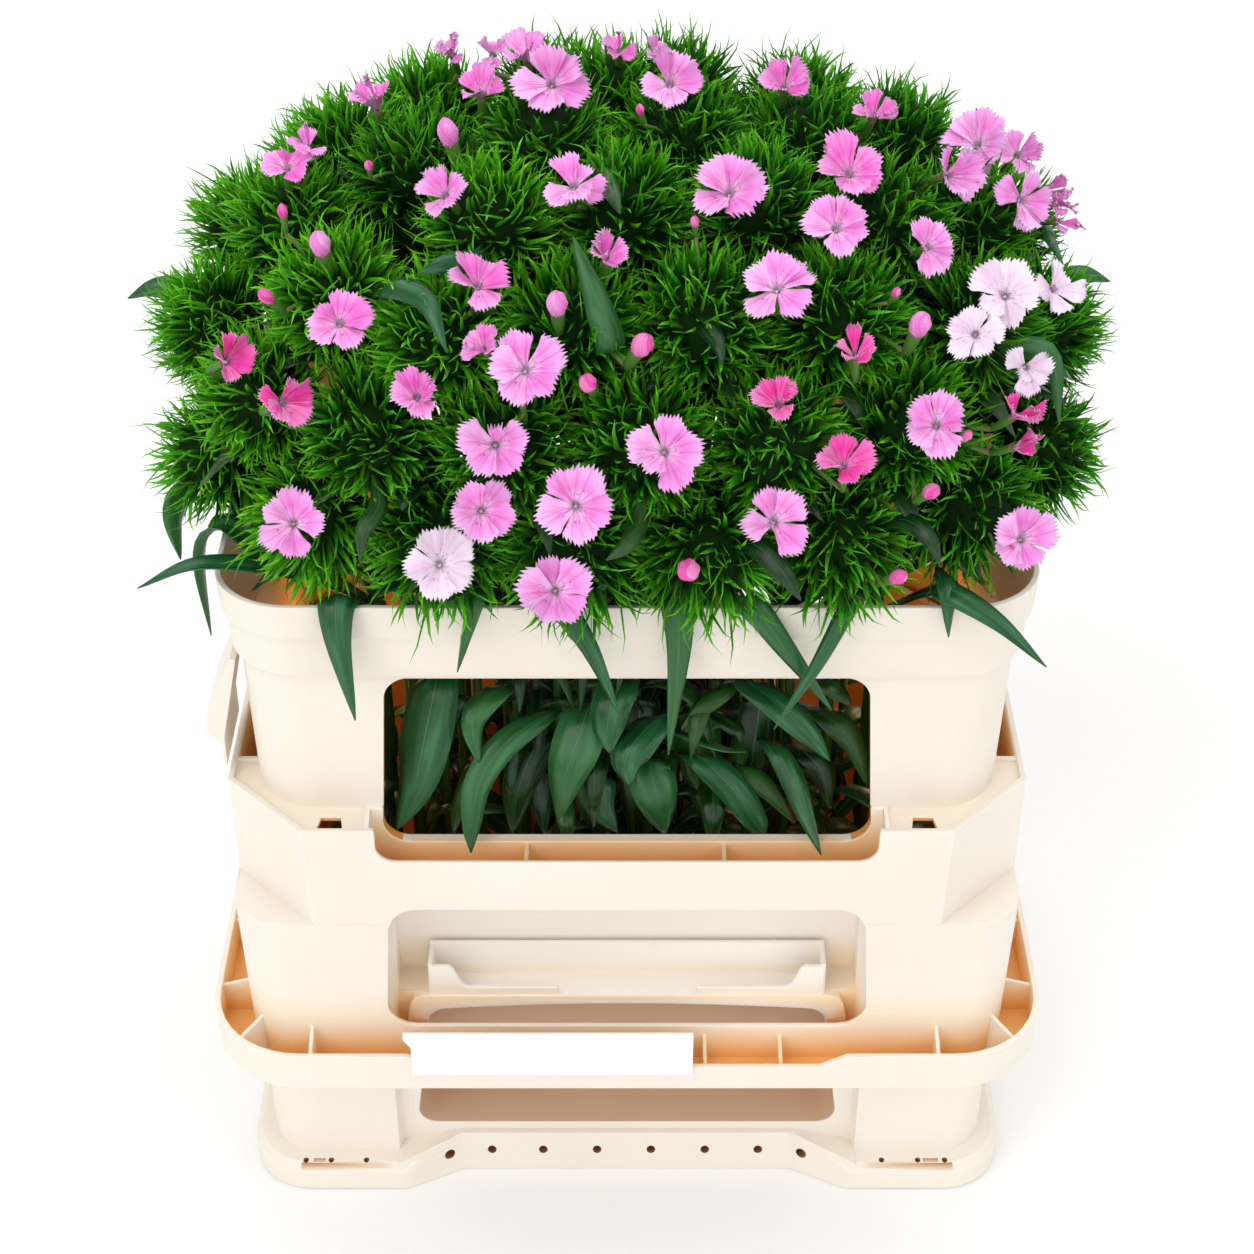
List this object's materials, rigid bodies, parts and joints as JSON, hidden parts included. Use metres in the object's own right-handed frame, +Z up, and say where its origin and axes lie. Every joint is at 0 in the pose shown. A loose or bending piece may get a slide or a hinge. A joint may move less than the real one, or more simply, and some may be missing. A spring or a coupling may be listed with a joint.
{
  "type": "dianthus plant in a cream plastic container",
  "caption": "Dome of pink fringed dianthus flowers among tufted green heads, standing in a windowed two-piece cream plastic bucket and collar.",
  "frame": {"origin": "middle of the bucket's flat underside, on the surface that it stands on", "axes": "+Z up through the plant; -Y towards the front with the label; +X to the right as seen from the front"},
  "size_m": [0.4527, 0.3095, 0.5374],
  "materials": {
    "cream_plastic": "satin injection-moulded polypropylene",
    "label": "matt white card",
    "foliage": "satin leaf",
    "petal": "velvety petal"
  },
  "bodies": {
    "root": {"bucket": "cream_plastic", "collar": "cream_plastic", "side_clip": "cream_plastic", "label_card": "label", "stem_01": "foliage", "stem_02": "foliage", "stem_03": "foliage", "stem_04": "foliage", "stem_05": "foliage", "stem_06": "foliage", "stem_07": "foliage", "stem_08": "foliage", "stem_09": "foliage", "stem_10": "foliage", "stem_11": "foliage", "stem_12": "foliage", "stem_13": "foliage", "stem_14": "foliage", "stem_15": "foliage", "stem_16": "foliage", "stem_17": "foliage", "stem_18": "foliage", "stem_19": "foliage", "stem_20": "foliage", "stem_21": "foliage", "stem_22": "foliage", "stem_23": "foliage", "stem_24": "foliage", "stem_25": "foliage", "stem_26": "foliage", "stem_27": "foliage", "stem_28": "foliage", "stem_29": "foliage", "stem_30": "foliage", "stem_31": "foliage", "stem_32": "foliage", "stem_33": "foliage", "stem_34": "foliage", "stem_35": "foliage", "stem_36": "foliage", "stem_37": "foliage", "stem_38": "foliage", "stem_39": "foliage", "stem_40": "foliage", "stem_41": "foliage", "stem_42": "foliage", "stem_43": "foliage", "stem_44": "foliage", "stem_45": "foliage", "stem_46": "foliage", "stem_47": "foliage", "stem_48": "foliage", "stem_49": "foliage", "stem_50": "foliage", "stem_51": "foliage", "stem_52": "foliage", "stem_53": "foliage", "stem_54": "foliage", "stem_55": "foliage"}
  },
  "joints": []
}
